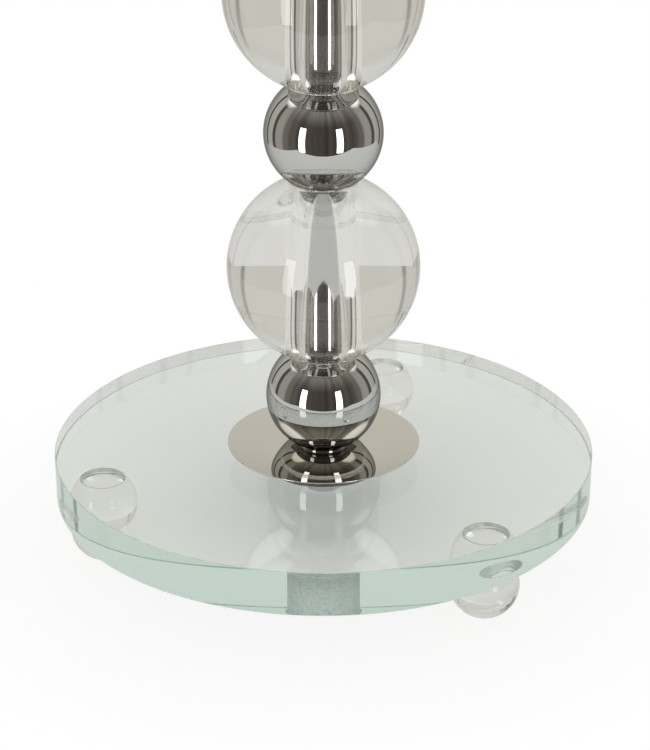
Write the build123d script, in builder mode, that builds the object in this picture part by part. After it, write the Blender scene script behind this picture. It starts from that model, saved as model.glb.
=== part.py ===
from build123d import *
from math import cos, degrees, hypot, radians, sin, sqrt
import os

# Candle lamp with shade: a stem of chrome and glass balls on a clear glass base, clamped by one rod,
# with a spring-fed candle tube and a wire-framed fabric shade on top.
# Millimetres, +Z up, origin on the table under the middle of the base.

# Glass base: a disc of float glass, drilled through its middle
base_diameter = 240.0
base_thickness = 20.0
base_bevel = 0.5
base_bore_diameter = 20.0
base_bore_bevel = 0.6

# Glass ball feet, ground flat on top for the glue and at the bottom to stand
foot_count = 3
foot_diameter = 30.0
foot_bond_diameter = 19.6
foot_rest_diameter = 6.0
foot_rim_inset = 20.0
foot_first_angle = 73.1
bond_thickness = 0.2

# Mirror plate and the clear film under it
plate_diameter = 86.0
plate_thickness = 0.5
plate_edge_round = 0.15
plate_gasket_inset = 1.0
plate_gasket_thickness = 0.15

# Tie rod and its fasteners under the base
rod_diameter = 10.0
rod_chamfer = 1.0
rod_end_length = 2.0
rod_play = 0.3
thread_play = 0.05
under_gasket_diameter = 56.0
under_gasket_thickness = 2.0
under_washer_diameter = 50.0
under_washer_thickness = 2.0
lock_washer_width = 3.5
lock_washer_thickness = 2.2
lock_washer_split = 2.0
nut_wall = 3.5
nut_height = 8.0
nut_chamfer = 0.9

# Spacer ring that lifts the first ball off the plate
spacer_diameter = 23.0
spacer_thickness = 2.0
spacer_edge_round = 0.6

# Stem balls, ground or pressed flat at both poles, with a sleeve round the rod in each glass bore
chrome_ball_count = 3
chrome_diameter = 51.0
chrome_flat_diameter = 30.0
chrome_wall = 1.2
glass_diameter = 84.0
glass_flat_diameter = 30.0
glass_bore_diameter = 20.0
glass_bore_bevel = 0.5
sleeve_diameter = 15.0
sleeve_wall = 1.0
seat_washer_thickness = 0.8
seat_washer_play = 0.3

# Drip pan: a shallow spun dish with a rolled rim
pan_diameter = 76.0
pan_floor_diameter = 44.0
pan_depth = 9.0
pan_thickness = 1.0
pan_bead_diameter = 2.6

# Socket on the rod's upper end, and the candle tube that stands on its flange
socket_flange_overhang = 3.0
socket_flange_height = 5.0
socket_spigot_height = 15.0
socket_thread_depth = 14.0
socket_thread_end_gap = 1.0
socket_fit = 0.05
tube_diameter = 28.0
tube_wall = 1.0
tube_length = 125.0

# Nozzle cap, held on the tube by a bayonet
pin_count = 2
pin_diameter = 2.5
pin_drop = 6.0
pin_inset = 0.2
pin_first_angle = 45.0
cap_play = 0.4
cap_wall = 1.0
cap_skirt = 12.0
cap_rim_gap = 0.4
cap_opening_diameter = 14.0
cap_slot_play = 0.3
cap_turn = 30.0

# Candle, its spring and the follower between them
candle_length = 82.0
candle_play = 1.0
candle_tip_diameter = 8.0
candle_stop_gap = 0.4
wick_diameter = 1.8
wick_length = 9.0
follower_thickness = 6.0
follower_play = 0.3
follower_spigot_length = 5.0
spring_diameter = 21.0
spring_wire = 1.2
spring_turns = 8
spring_play = 0.5
spring_top_gap = 0.3

# Shade carrier: a collar that turns on the tube, three wire arms and a gallery ring
stop_drop = 51.0
stop_width = 2.0
stop_thickness = 2.0
rest_gap = 0.3
collar_play = 0.3
collar_wall = 2.0
collar_height = 9.0
arm_count = 3
arm_first_angle = 90.0
arm_wire = 3.0
arm_bend_radius = 22.0
arm_upright = 10.0
gallery_wire = 3.0
gallery_rise = 3.0

# Shade: fabric on a wire frame that rests on the gallery ring
shade_bottom_diameter = 232.0
shade_top_diameter = 120.0
shade_height = 155.0
shade_drop = 68.0
cover_thickness = 0.8
trim_width = 9.0
trim_thickness = 0.6
frame_wire = 3.0
frame_glue = 0.1
fitter_play = 0.5
rib_count = 6
rib_wire = 2.6
rib_first_angle = 30.0
spoke_count = 3
spoke_wire = 2.2

# Heights, from the table up
foot_radius = foot_diameter / 2
foot_centre_z = sqrt(foot_radius**2 - (foot_rest_diameter / 2) ** 2)
foot_top_z = foot_centre_z + sqrt(foot_radius**2 - (foot_bond_diameter / 2) ** 2)
base_bottom_z = foot_top_z + bond_thickness
base_top_z = base_bottom_z + base_thickness
plate_bottom_z = base_top_z + plate_gasket_thickness
plate_top_z = plate_bottom_z + plate_thickness
spacer_top_z = plate_top_z + spacer_thickness
under_washer_z = base_bottom_z - under_gasket_thickness - under_washer_thickness
lock_washer_z = under_washer_z - lock_washer_thickness
nut_z = lock_washer_z - nut_height
rod_bottom_z = nut_z - rod_end_length

chrome_radius = chrome_diameter / 2
chrome_half = sqrt(chrome_radius**2 - (chrome_flat_diameter / 2) ** 2)
glass_radius = glass_diameter / 2
glass_half = sqrt(glass_radius**2 - (glass_flat_diameter / 2) ** 2)
sleeve_length = 2 * (glass_half + seat_washer_thickness)
ball_step = 2 * chrome_half + sleeve_length
stem_top_z = spacer_top_z + chrome_ball_count * 2 * chrome_half + (chrome_ball_count - 1) * sleeve_length

socket_z = stem_top_z + pan_thickness
tube_bottom_z = socket_z + socket_flange_height
spring_seat_z = tube_bottom_z + socket_spigot_height
rod_top_z = socket_z + socket_thread_depth - socket_thread_end_gap
tube_top_z = tube_bottom_z + tube_length
pin_z = tube_top_z - pin_drop
stop_z = tube_top_z - stop_drop
collar_z = stop_z + stop_thickness + rest_gap
arm_z = collar_z + collar_height / 2
arm_top_z = arm_z + arm_bend_radius + arm_upright
gallery_z = arm_z + arm_bend_radius + gallery_rise
fitter_z = gallery_z + gallery_wire / 2 + rest_gap + frame_wire / 2
shade_bottom_z = fitter_z - shade_drop
shade_top_z = shade_bottom_z + shade_height

# Radii that several pieces share
rod_hole_radius = rod_diameter / 2 + rod_play
thread_radius = rod_diameter / 2 + thread_play
tube_radius = tube_diameter / 2
tube_inner_radius = tube_radius - tube_wall
cap_inner_radius = tube_radius + cap_play
cap_outer_radius = cap_inner_radius + cap_wall
cap_opening_radius = cap_opening_diameter / 2
collar_inner_radius = tube_radius + collar_play
collar_outer_radius = collar_inner_radius + collar_wall
arm_end_radius = collar_outer_radius + arm_bend_radius
gallery_radius = arm_end_radius + (arm_wire + gallery_wire) / 2
fitter_radius = arm_end_radius + (arm_wire + frame_wire) / 2 + fitter_play


def washer(z, outer_diameter, inner_diameter, thickness):
    """Flat ring that lies on height z."""
    with BuildPart() as ring:
        with BuildSketch(Plane.XY.offset(z)):
            Circle(outer_diameter / 2)
            Circle(inner_diameter / 2, mode=Mode.SUBTRACT)
        extrude(amount=thickness)
    return ring


def wire_ring(z, radius, wire_diameter):
    """Closed ring of round wire with its centre line at height z."""
    with BuildPart() as ring:
        with Locations((0, 0, z)):
            Torus(radius, wire_diameter / 2)
    return ring


def upright_plane(angle):
    """Plane through the lamp's axis: its first direction is outward, its second one is up."""
    turn = radians(angle)
    return Plane((0, 0, 0), x_dir=(cos(turn), sin(turn), 0), z_dir=(sin(turn), -cos(turn), 0))


os.makedirs("parts", exist_ok=True)

# Glass base
with BuildPart() as glass_base:
    with BuildSketch(Plane.XY.offset(base_bottom_z)):
        Circle(base_diameter / 2)
        Circle(base_bore_diameter / 2, mode=Mode.SUBTRACT)
    extrude(amount=base_thickness)
    base_circles = glass_base.edges().filter_by(GeomType.CIRCLE).group_by(SortBy.RADIUS)
    chamfer(base_circles[-1], base_bevel)
    chamfer(base_circles[0], base_bore_bevel)
glass_base.part.label = "glass_base"
export_step(glass_base.part, "parts/glass_base.step")

# Ball feet and the glue films that hold them
foot_circle_radius = base_diameter / 2 - foot_rim_inset
for number in range(foot_count):
    foot_turn = radians(foot_first_angle + number * 360 / foot_count)
    foot_x = foot_circle_radius * cos(foot_turn)
    foot_y = foot_circle_radius * sin(foot_turn)

    with BuildPart() as foot_ball:
        with Locations((foot_x, foot_y, foot_centre_z)):
            Sphere(foot_radius)
        split(bisect_by=Plane.XY, keep=Keep.TOP)
        split(bisect_by=Plane.XY.offset(foot_top_z), keep=Keep.BOTTOM)
    foot_ball.part.label = f"foot_ball_{number + 1}"
    export_step(foot_ball.part, f"parts/foot_ball_{number + 1}.step")

    with BuildPart() as foot_bond:
        with BuildSketch(Plane((foot_x, foot_y, foot_top_z))):
            Circle(foot_bond_diameter / 2)
        extrude(amount=bond_thickness)
    foot_bond.part.label = f"foot_bond_{number + 1}"
    export_step(foot_bond.part, f"parts/foot_bond_{number + 1}.step")

# Mirror plate on its film, and the spacer on it
plate_gasket_diameter = plate_diameter - 2 * plate_gasket_inset
plate_gasket = washer(base_top_z, plate_gasket_diameter, base_bore_diameter, plate_gasket_thickness)
plate_gasket.part.label = "plate_gasket"
export_step(plate_gasket.part, "parts/plate_gasket.step")

with BuildPart() as mirror_plate:
    with BuildSketch(Plane.XY.offset(plate_bottom_z)):
        Circle(plate_diameter / 2)
        Circle(rod_hole_radius, mode=Mode.SUBTRACT)
    extrude(amount=plate_thickness)
    plate_rims = mirror_plate.edges().filter_by(GeomType.CIRCLE).group_by(SortBy.RADIUS)[-1]
    fillet(plate_rims, min(plate_edge_round, plate_thickness / 3))
mirror_plate.part.label = "mirror_plate"
export_step(mirror_plate.part, "parts/mirror_plate.step")

with BuildPart() as ball_spacer:
    with BuildSketch(Plane.XY.offset(plate_top_z)):
        Circle(spacer_diameter / 2)
        Circle(rod_hole_radius, mode=Mode.SUBTRACT)
    extrude(amount=spacer_thickness)
    spacer_rims = ball_spacer.edges().filter_by(GeomType.CIRCLE).group_by(SortBy.RADIUS)[-1]
    fillet(spacer_rims, min(spacer_edge_round, spacer_thickness / 3))
ball_spacer.part.label = "ball_spacer"
export_step(ball_spacer.part, "parts/ball_spacer.step")

# Rod and the fasteners that pull against the underside of the base
with BuildPart() as tie_rod:
    with BuildSketch(Plane.XY.offset(rod_bottom_z)):
        Circle(rod_diameter / 2)
    extrude(amount=rod_top_z - rod_bottom_z)
    chamfer(tie_rod.edges().filter_by(GeomType.CIRCLE), rod_chamfer)
tie_rod.part.label = "tie_rod"
export_step(tie_rod.part, "parts/tie_rod.step")

under_gasket_z = base_bottom_z - under_gasket_thickness
under_gasket = washer(under_gasket_z, under_gasket_diameter, 2 * rod_hole_radius, under_gasket_thickness)
under_gasket.part.label = "under_gasket"
export_step(under_gasket.part, "parts/under_gasket.step")

under_washer = washer(under_washer_z, under_washer_diameter, 2 * rod_hole_radius, under_washer_thickness)
under_washer.part.label = "under_washer"
export_step(under_washer.part, "parts/under_washer.step")

with BuildPart() as lock_washer:
    with BuildSketch(Plane.XY.offset(lock_washer_z)):
        Circle(rod_hole_radius + lock_washer_width)
        Circle(rod_hole_radius, mode=Mode.SUBTRACT)
        with Locations((rod_hole_radius + lock_washer_width / 2, 0)):
            Rectangle(2 * lock_washer_width, lock_washer_split, mode=Mode.SUBTRACT)
    extrude(amount=lock_washer_thickness)
lock_washer.part.label = "lock_washer"
export_step(lock_washer.part, "parts/lock_washer.step")

nut_flat_radius = rod_diameter / 2 + nut_wall
nut_corner_radius = nut_flat_radius / cos(radians(30))
with BuildPart() as base_nut:
    with BuildSketch(Plane.XY.offset(nut_z)):
        RegularPolygon(nut_flat_radius, 6, major_radius=False)
        Circle(thread_radius, mode=Mode.SUBTRACT)
    extrude(amount=nut_height)
    with BuildSketch(Plane.XZ):
        with BuildLine():
            Polyline(
                (0, nut_z),
                (nut_flat_radius, nut_z),
                (nut_corner_radius, nut_z + nut_chamfer),
                (nut_corner_radius, nut_z + nut_height - nut_chamfer),
                (nut_flat_radius, nut_z + nut_height),
                (0, nut_z + nut_height),
                close=True,
            )
        make_face()
    revolve(axis=Axis.Z, mode=Mode.INTERSECT)
base_nut.part.label = "base_nut"
export_step(base_nut.part, "parts/base_nut.step")

# Chrome balls: hollow, with a flat and a rod hole at each pole
chrome_flat_radius = chrome_flat_diameter / 2
chrome_inner_radius = chrome_radius - chrome_wall
chrome_inner_half = chrome_half - chrome_wall
chrome_inner_flat = sqrt(chrome_inner_radius**2 - chrome_inner_half**2)
for number in range(chrome_ball_count):
    centre_z = spacer_top_z + chrome_half + number * ball_step
    with BuildPart() as chrome_ball:
        with BuildSketch(Plane.XZ):
            with BuildLine():
                Line((rod_hole_radius, centre_z - chrome_half), (chrome_flat_radius, centre_z - chrome_half))
                ThreePointArc(
                    (chrome_flat_radius, centre_z - chrome_half),
                    (chrome_radius, centre_z),
                    (chrome_flat_radius, centre_z + chrome_half),
                )
                Polyline(
                    (chrome_flat_radius, centre_z + chrome_half),
                    (rod_hole_radius, centre_z + chrome_half),
                    (rod_hole_radius, centre_z + chrome_inner_half),
                    (chrome_inner_flat, centre_z + chrome_inner_half),
                )
                ThreePointArc(
                    (chrome_inner_flat, centre_z + chrome_inner_half),
                    (chrome_inner_radius, centre_z),
                    (chrome_inner_flat, centre_z - chrome_inner_half),
                )
                Polyline(
                    (chrome_inner_flat, centre_z - chrome_inner_half),
                    (rod_hole_radius, centre_z - chrome_inner_half),
                    (rod_hole_radius, centre_z - chrome_half),
                )
            make_face()
        revolve(axis=Axis.Z)
    chrome_ball.part.label = f"chrome_ball_{number + 1}"
    export_step(chrome_ball.part, f"parts/chrome_ball_{number + 1}.step")

# Glass balls between them, each with its sleeve and two seat washers
glass_flat_radius = glass_flat_diameter / 2
glass_bore_radius = glass_bore_diameter / 2
glass_mouth_radius = glass_bore_radius + glass_bore_bevel
seat_washer_bore = sleeve_diameter + 2 * seat_washer_play
for number in range(chrome_ball_count - 1):
    seat_z = spacer_top_z + 2 * chrome_half + number * ball_step
    glass_low_z = seat_z + seat_washer_thickness
    glass_high_z = glass_low_z + 2 * glass_half
    with BuildPart() as glass_ball:
        with BuildSketch(Plane.XZ):
            with BuildLine():
                Line((glass_mouth_radius, glass_low_z), (glass_flat_radius, glass_low_z))
                ThreePointArc(
                    (glass_flat_radius, glass_low_z),
                    (glass_radius, glass_low_z + glass_half),
                    (glass_flat_radius, glass_high_z),
                )
                Polyline(
                    (glass_flat_radius, glass_high_z),
                    (glass_mouth_radius, glass_high_z),
                    (glass_bore_radius, glass_high_z - glass_bore_bevel),
                    (glass_bore_radius, glass_low_z + glass_bore_bevel),
                    (glass_mouth_radius, glass_low_z),
                )
            make_face()
        revolve(axis=Axis.Z)
    glass_ball.part.label = f"glass_ball_{number + 1}"
    export_step(glass_ball.part, f"parts/glass_ball_{number + 1}.step")

    bore_sleeve = washer(seat_z, sleeve_diameter, sleeve_diameter - 2 * sleeve_wall, sleeve_length)
    bore_sleeve.part.label = f"bore_sleeve_{number + 1}"
    export_step(bore_sleeve.part, f"parts/bore_sleeve_{number + 1}.step")

    for place, washer_z in enumerate((seat_z, glass_high_z), start=1):
        seat_washer = washer(washer_z, glass_flat_diameter, seat_washer_bore, seat_washer_thickness)
        seat_washer.part.label = f"seat_washer_{2 * number + place}"
        export_step(seat_washer.part, f"parts/seat_washer_{2 * number + place}.step")

# Drip pan, clamped between the top ball and the socket
pan_middle_z = stem_top_z + pan_thickness / 2
with BuildPart() as drip_pan:
    with BuildSketch(Plane.XZ):
        with BuildLine():
            pan_floor = Line((rod_hole_radius, pan_middle_z), (pan_floor_diameter / 2, pan_middle_z))
            pan_rim_point = (pan_diameter / 2 - pan_bead_diameter / 2, pan_middle_z + pan_depth)
            TangentArc(pan_floor @ 1, pan_rim_point, tangent=pan_floor % 1)
        trace(line_width=pan_thickness)
        with Locations(pan_rim_point):
            Circle(pan_bead_diameter / 2)
    revolve(axis=Axis.Z)
drip_pan.part.label = "drip_pan"
export_step(drip_pan.part, "parts/drip_pan.step")

# Socket: screwed on the rod, it clamps the stem and centres the tube on its spigot
socket_flange_radius = tube_radius + socket_flange_overhang
with BuildPart() as tube_socket:
    with BuildSketch(Plane.XY.offset(socket_z)):
        Circle(socket_flange_radius)
    extrude(amount=socket_flange_height)
    with BuildSketch(Plane.XY.offset(tube_bottom_z)):
        Circle(tube_inner_radius - socket_fit)
    extrude(amount=socket_spigot_height)
    with BuildSketch(Plane.XY.offset(socket_z)):
        Circle(thread_radius)
    extrude(amount=socket_thread_depth, mode=Mode.SUBTRACT)
tube_socket.part.label = "tube_socket"
export_step(tube_socket.part, "parts/tube_socket.step")

# Candle tube with two rivets near its top and a pressed-on ring that carries the shade carrier
pin_inner_radius = tube_inner_radius - pin_inset
with BuildPart() as bayonet_pins:
    for number in range(pin_count):
        pin_plane = upright_plane(pin_first_angle + number * 360 / pin_count)
        pin_start = pin_plane.from_local_coords((pin_inner_radius, pin_z))
        with BuildSketch(Plane(pin_start, z_dir=pin_plane.x_dir)):
            Circle(pin_diameter / 2)
        extrude(amount=cap_outer_radius - pin_inner_radius)
bayonet_pins.part.label = "bayonet_pins"
export_step(bayonet_pins.part, "parts/bayonet_pins.step")

with BuildPart() as candle_tube:
    with BuildSketch(Plane.XY.offset(tube_bottom_z)):
        Circle(tube_radius)
        Circle(tube_inner_radius, mode=Mode.SUBTRACT)
    extrude(amount=tube_length)
    add(bayonet_pins.part, mode=Mode.SUBTRACT)
candle_tube.part.label = "candle_tube"
export_step(candle_tube.part, "parts/candle_tube.step")

carrier_stop = washer(stop_z, tube_diameter + 2 * stop_width, tube_diameter, stop_thickness)
carrier_stop.part.label = "carrier_stop"
export_step(carrier_stop.part, "parts/carrier_stop.step")

# Nozzle cap: a skirt with two bayonet slots and a 45 degree cone that stops the candle
cap_skirt_z = tube_top_z - cap_skirt
cap_cone_z = tube_top_z + cap_rim_gap
cap_mouth_z = cap_cone_z + cap_inner_radius - cap_opening_radius
cap_slot_width = pin_diameter + 2 * cap_slot_play
cap_slot_margin = degrees(cap_slot_width / 2 / cap_inner_radius)
with BuildPart() as nozzle_cap:
    with BuildSketch(Plane.XZ):
        with BuildLine():
            Polyline(
                (cap_inner_radius, cap_skirt_z),
                (cap_outer_radius, cap_skirt_z),
                (cap_outer_radius, cap_cone_z + cap_wall * (sqrt(2) - 1)),
                (cap_opening_radius, cap_mouth_z + cap_wall * sqrt(2)),
                (cap_opening_radius, cap_mouth_z),
                (cap_inner_radius, cap_cone_z),
                close=True,
            )
        make_face()
    revolve(axis=Axis.Z)
    with BuildSketch(Plane.XY.offset(cap_skirt_z)):
        with PolarLocations(cap_inner_radius, pin_count, start_angle=pin_first_angle - cap_turn):
            Rectangle(4 * cap_wall, cap_slot_width)
    extrude(amount=pin_z + cap_slot_width / 2 - cap_skirt_z, mode=Mode.SUBTRACT)
    for number in range(pin_count):
        with BuildSketch(upright_plane(pin_first_angle + number * 360 / pin_count - cap_turn)):
            with Locations((cap_inner_radius, pin_z)):
                Rectangle(4 * cap_wall, cap_slot_width)
        revolve(axis=Axis.Z, revolution_arc=cap_turn + cap_slot_margin, mode=Mode.SUBTRACT)
nozzle_cap.part.label = "nozzle_cap"
export_step(nozzle_cap.part, "parts/nozzle_cap.step")

# Candle: a wax cylinder with a cone that meets the cap, bored for its wick
candle_radius = tube_inner_radius - candle_play
candle_shoulder_z = cap_cone_z + cap_inner_radius - candle_radius - candle_stop_gap
candle_tip_z = candle_shoulder_z + candle_radius - candle_tip_diameter / 2
candle_bottom_z = candle_tip_z - candle_length
with BuildPart() as candle:
    with BuildSketch(Plane.XZ):
        with BuildLine():
            Polyline(
                (wick_diameter / 2, candle_bottom_z),
                (candle_radius, candle_bottom_z),
                (candle_radius, candle_shoulder_z),
                (candle_tip_diameter / 2, candle_tip_z),
                (wick_diameter / 2, candle_tip_z),
                close=True,
            )
        make_face()
    revolve(axis=Axis.Z)
candle.part.label = "candle"
export_step(candle.part, "parts/candle.step")

with BuildPart() as wick:
    with BuildSketch(Plane.XY.offset(candle_bottom_z)):
        Circle(wick_diameter / 2)
    extrude(amount=candle_length + wick_length)
wick.part.label = "wick"
export_step(wick.part, "parts/wick.step")

# Follower under the candle, and the coil spring that pushes it up
follower_z = candle_bottom_z - follower_thickness
with BuildPart() as spring_follower:
    with BuildSketch(Plane.XY.offset(follower_z)):
        Circle(tube_inner_radius - follower_play)
    extrude(amount=follower_thickness)
    with BuildSketch(Plane.XY.offset(follower_z - follower_spigot_length)):
        Circle(spring_diameter / 2 - spring_wire - spring_play)
    extrude(amount=follower_spigot_length)
spring_follower.part.label = "spring_follower"
export_step(spring_follower.part, "parts/spring_follower.step")

coil_radius = (spring_diameter - spring_wire) / 2
coil_start_z = spring_seat_z + spring_wire / 2
coil_rise = follower_z - spring_top_gap - spring_wire - spring_seat_z
quarter_rise = coil_rise / (4 * spring_turns)


def coil_point(quarter):
    """Point on the spring's centre line after so many quarter turns."""
    turn = radians(90 * quarter)
    return Vector(coil_radius * cos(turn), coil_radius * sin(turn), coil_start_z + quarter * quarter_rise)


def coil_direction(quarter):
    """Direction of the wire there, the one that lets each quarter turn be a single arc."""
    turn = radians(90 * quarter)
    return Vector(-sin(turn), cos(turn), quarter_rise / (2 * coil_radius))


with BuildPart() as feed_spring:
    with BuildLine() as coil:
        for quarter in range(4 * spring_turns):
            TangentArc(coil_point(quarter), coil_point(quarter + 1), tangent=coil_direction(quarter))
    with BuildSketch(Plane(coil_point(0), z_dir=coil_direction(0))):
        Circle(spring_wire / 2)
    sweep(path=coil.line)
feed_spring.part.label = "feed_spring"
export_step(feed_spring.part, "parts/feed_spring.step")

coil_gaps = [(coil_point(n + 4) - coil_point(n)).length - spring_wire for n in range(4 * spring_turns - 3)]
print(f"least gap between turns of feed_spring {min(coil_gaps):.2f} mm")

# Shade carrier: the collar, its arms and the gallery ring round the arms
carrier_collar = washer(collar_z, 2 * collar_outer_radius, 2 * collar_inner_radius, collar_height)
carrier_collar.part.label = "carrier_collar"
export_step(carrier_collar.part, "parts/carrier_collar.step")

for number in range(arm_count):
    arm_plane = upright_plane(arm_first_angle + number * 360 / arm_count)
    arm_root_radius = collar_outer_radius - collar_wall / 2
    with BuildPart() as carrier_arm:
        with BuildLine(arm_plane) as arm_path:
            arm_root = Line((arm_root_radius, arm_z), (collar_outer_radius, arm_z))
            arm_bend_end = (arm_end_radius, arm_z + arm_bend_radius)
            TangentArc((collar_outer_radius, arm_z), arm_bend_end, tangent=(1, 0))
            Line(arm_bend_end, (arm_end_radius, arm_top_z))
        with BuildSketch(Plane(arm_root @ 0, z_dir=arm_root % 0)):
            Circle(arm_wire / 2)
        sweep(path=arm_path.line)
        fillet(carrier_arm.edges().sort_by(Axis.Z)[-1], arm_wire / 4)
        with BuildSketch(Plane.XY.offset(collar_z)):
            Circle(collar_outer_radius)
        extrude(amount=collar_height, mode=Mode.SUBTRACT)
    carrier_arm.part.label = f"carrier_arm_{number + 1}"
    export_step(carrier_arm.part, f"parts/carrier_arm_{number + 1}.step")

gallery_ring = wire_ring(gallery_z, gallery_radius, gallery_wire)
gallery_ring.part.label = "gallery_ring"
export_step(gallery_ring.part, "parts/gallery_ring.step")

# Shade cover: a cone of fabric on a stiff backing
shade_bottom_radius = shade_bottom_diameter / 2
shade_top_radius = shade_top_diameter / 2
shade_taper = (shade_bottom_radius - shade_top_radius) / shade_height
slant = hypot(1, shade_taper)
cover_width = cover_thickness * slant
trim_band_width = trim_thickness * slant
trim_height = trim_width / slant
with BuildPart() as shade_cover:
    with BuildSketch(Plane.XZ):
        with BuildLine():
            Polyline(
                (shade_bottom_radius - cover_width, shade_bottom_z),
                (shade_bottom_radius, shade_bottom_z),
                (shade_top_radius, shade_top_z),
                (shade_top_radius - cover_width, shade_top_z),
                close=True,
            )
        make_face()
    revolve(axis=Axis.Z)
shade_cover.part.label = "shade_cover"
export_step(shade_cover.part, "parts/shade_cover.step")

# Bound edges, round the outside of the cover
trim_low_ends = {"shade_bottom_trim": shade_bottom_z, "shade_top_trim": shade_top_z - trim_height}
for trim_name, trim_z in trim_low_ends.items():
    trim_low_radius = shade_bottom_radius - shade_taper * (trim_z - shade_bottom_z)
    trim_high_radius = trim_low_radius - shade_taper * trim_height
    with BuildPart() as shade_trim:
        with BuildSketch(Plane.XZ):
            with BuildLine():
                Polyline(
                    (trim_low_radius, trim_z),
                    (trim_low_radius + trim_band_width, trim_z),
                    (trim_high_radius + trim_band_width, trim_z + trim_height),
                    (trim_high_radius, trim_z + trim_height),
                    close=True,
                )
            make_face()
        revolve(axis=Axis.Z)
    shade_trim.part.label = trim_name
    export_step(shade_trim.part, f"parts/{trim_name}.step")


def frame_radius(z):
    """Radius of the frame's centre lines at height z, against the inside of the cover."""
    cover_radius = shade_bottom_radius - shade_taper * (z - shade_bottom_z)
    return cover_radius - cover_width - (frame_wire / 2 + frame_glue) * slant


# Wire frame of the shade: two rings, the ribs between them, and the spoked ring that rests on the gallery
low_ring_z = shade_bottom_z + frame_wire / 2
high_ring_z = shade_top_z - frame_wire / 2
shade_bottom_ring = wire_ring(low_ring_z, frame_radius(low_ring_z), frame_wire)
shade_bottom_ring.part.label = "shade_bottom_ring"
export_step(shade_bottom_ring.part, "parts/shade_bottom_ring.step")

shade_top_ring = wire_ring(high_ring_z, frame_radius(high_ring_z), frame_wire)
shade_top_ring.part.label = "shade_top_ring"
export_step(shade_top_ring.part, "parts/shade_top_ring.step")

with BuildPart() as shade_ribs:
    for number in range(rib_count):
        rib_plane = upright_plane(rib_first_angle + number * 360 / rib_count)
        rib_low = rib_plane.from_local_coords((frame_radius(low_ring_z), low_ring_z))
        rib_high = rib_plane.from_local_coords((frame_radius(high_ring_z), high_ring_z))
        with BuildSketch(Plane(rib_low, z_dir=rib_high - rib_low)):
            Circle(rib_wire / 2)
        extrude(amount=(rib_high - rib_low).length)
    add(shade_bottom_ring.part, mode=Mode.SUBTRACT)
    add(shade_top_ring.part, mode=Mode.SUBTRACT)
shade_ribs.part.label = "shade_ribs"
export_step(shade_ribs.part, "parts/shade_ribs.step")

fitter_ring = wire_ring(fitter_z, fitter_radius, frame_wire)
fitter_ring.part.label = "fitter_ring"
export_step(fitter_ring.part, "parts/fitter_ring.step")

with BuildPart() as fitter_spokes:
    for number in range(spoke_count):
        spoke_plane = upright_plane(rib_first_angle + number * 360 / spoke_count)
        spoke_start = spoke_plane.from_local_coords((fitter_radius, fitter_z))
        with BuildSketch(Plane(spoke_start, z_dir=spoke_plane.x_dir)):
            Circle(spoke_wire / 2)
        extrude(amount=frame_radius(fitter_z) - fitter_radius)
    add(fitter_ring.part, mode=Mode.SUBTRACT)
    add(shade_ribs.part, mode=Mode.SUBTRACT)
fitter_spokes.part.label = "fitter_spokes"
export_step(fitter_spokes.part, "parts/fitter_spokes.step")
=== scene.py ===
from math import acos, asin, atan2, cos, degrees, hypot, pi, radians, sin, sqrt

import bmesh
import bpy
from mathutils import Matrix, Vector


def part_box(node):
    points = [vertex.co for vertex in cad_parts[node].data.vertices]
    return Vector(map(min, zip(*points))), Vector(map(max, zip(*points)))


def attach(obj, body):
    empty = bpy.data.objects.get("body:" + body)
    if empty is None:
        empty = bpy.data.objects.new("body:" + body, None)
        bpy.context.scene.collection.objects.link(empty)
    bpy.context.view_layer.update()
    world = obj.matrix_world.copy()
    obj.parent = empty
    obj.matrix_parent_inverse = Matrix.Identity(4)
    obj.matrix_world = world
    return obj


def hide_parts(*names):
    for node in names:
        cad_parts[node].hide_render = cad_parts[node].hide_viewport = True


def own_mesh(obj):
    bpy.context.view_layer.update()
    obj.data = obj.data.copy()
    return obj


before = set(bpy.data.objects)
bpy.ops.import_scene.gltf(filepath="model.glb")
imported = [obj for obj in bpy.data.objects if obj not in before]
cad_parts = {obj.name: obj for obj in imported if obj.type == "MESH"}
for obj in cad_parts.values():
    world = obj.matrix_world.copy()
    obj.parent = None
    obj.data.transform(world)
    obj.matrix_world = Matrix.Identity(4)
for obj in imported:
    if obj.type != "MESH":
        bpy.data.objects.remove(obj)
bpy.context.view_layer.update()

# Glass base: a disc of 20 mm float glass, cut round, drilled through the middle and polished at the rim.
# It lies glued on three glass feet, and the whole stem stands on it.
MM = 0.001
base_low, base_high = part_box("glass_base")
base_radius = base_high.x
base_bore_radius = 10.0 * MM
base_bevel = 0.35 * MM
base_bore_bevel = 0.6 * MM


def arc(centre_radius, centre_height, size, start, end, steps):
    """Points of a round stretch of an outline, with its angles in degrees from the outward direction."""
    turns = [radians(start + (end - start) * step / steps) for step in range(steps + 1)]
    return [(centre_radius + size * cos(turn), centre_height + size * sin(turn)) for turn in turns]


def lathe(outline, axis=(0.0, 0.0), steps=160):
    """Points and faces of a closed outline of (radius, height) points, turned round an upright axis."""
    points, rings, faces = [], [], []
    for radius, height in outline:
        count = 1 if radius < 1e-9 else steps
        rings.append([len(points) + step % count for step in range(steps + 1)])
        turns = [2 * pi * step / steps for step in range(count)]
        points += [Vector((axis[0] + radius * cos(t), axis[1] + radius * sin(t), height)) for t in turns]
    for place, ring in enumerate(rings):
        above = rings[(place + 1) % len(rings)]
        for step in range(steps):
            corners = dict.fromkeys((ring[step], ring[step + 1], above[step + 1], above[step]))
            if len(corners) > 2:
                faces.append(list(corners))
    return points, faces


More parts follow.
